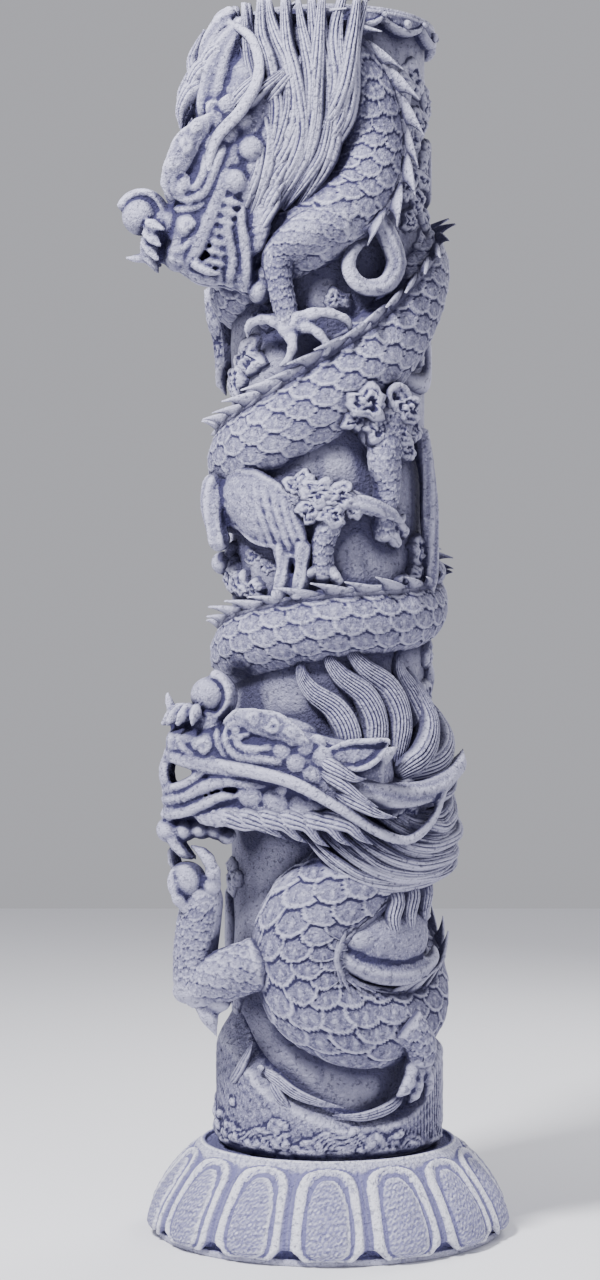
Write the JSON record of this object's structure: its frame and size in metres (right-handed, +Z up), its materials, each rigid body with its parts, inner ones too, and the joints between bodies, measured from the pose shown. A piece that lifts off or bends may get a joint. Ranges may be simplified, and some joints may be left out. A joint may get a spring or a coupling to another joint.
{
  "type": "carved stone dragon column",
  "caption": "Round stone column carved in high relief with two coiled dragons, clouds and waves, standing on a turned-down lotus plinth.",
  "frame": {"origin": "centre of the plinth's underside, on the ground", "axes": "+Z up along the column's axis, -Y the front that the picture shows, +X to the right seen from the front"},
  "size_m": [1.0211, 0.955, 3.2323],
  "materials": {
    "shaft_stone": "hand-carved, matt, violet grey with pale worn edges",
    "plinth_stone": "bush-hammered, matt, pale with fine violet specks"
  },
  "bodies": {
    "root": {"dragon_shaft": "shaft_stone", "lotus_plinth": "plinth_stone"}
  },
  "joints": []
}
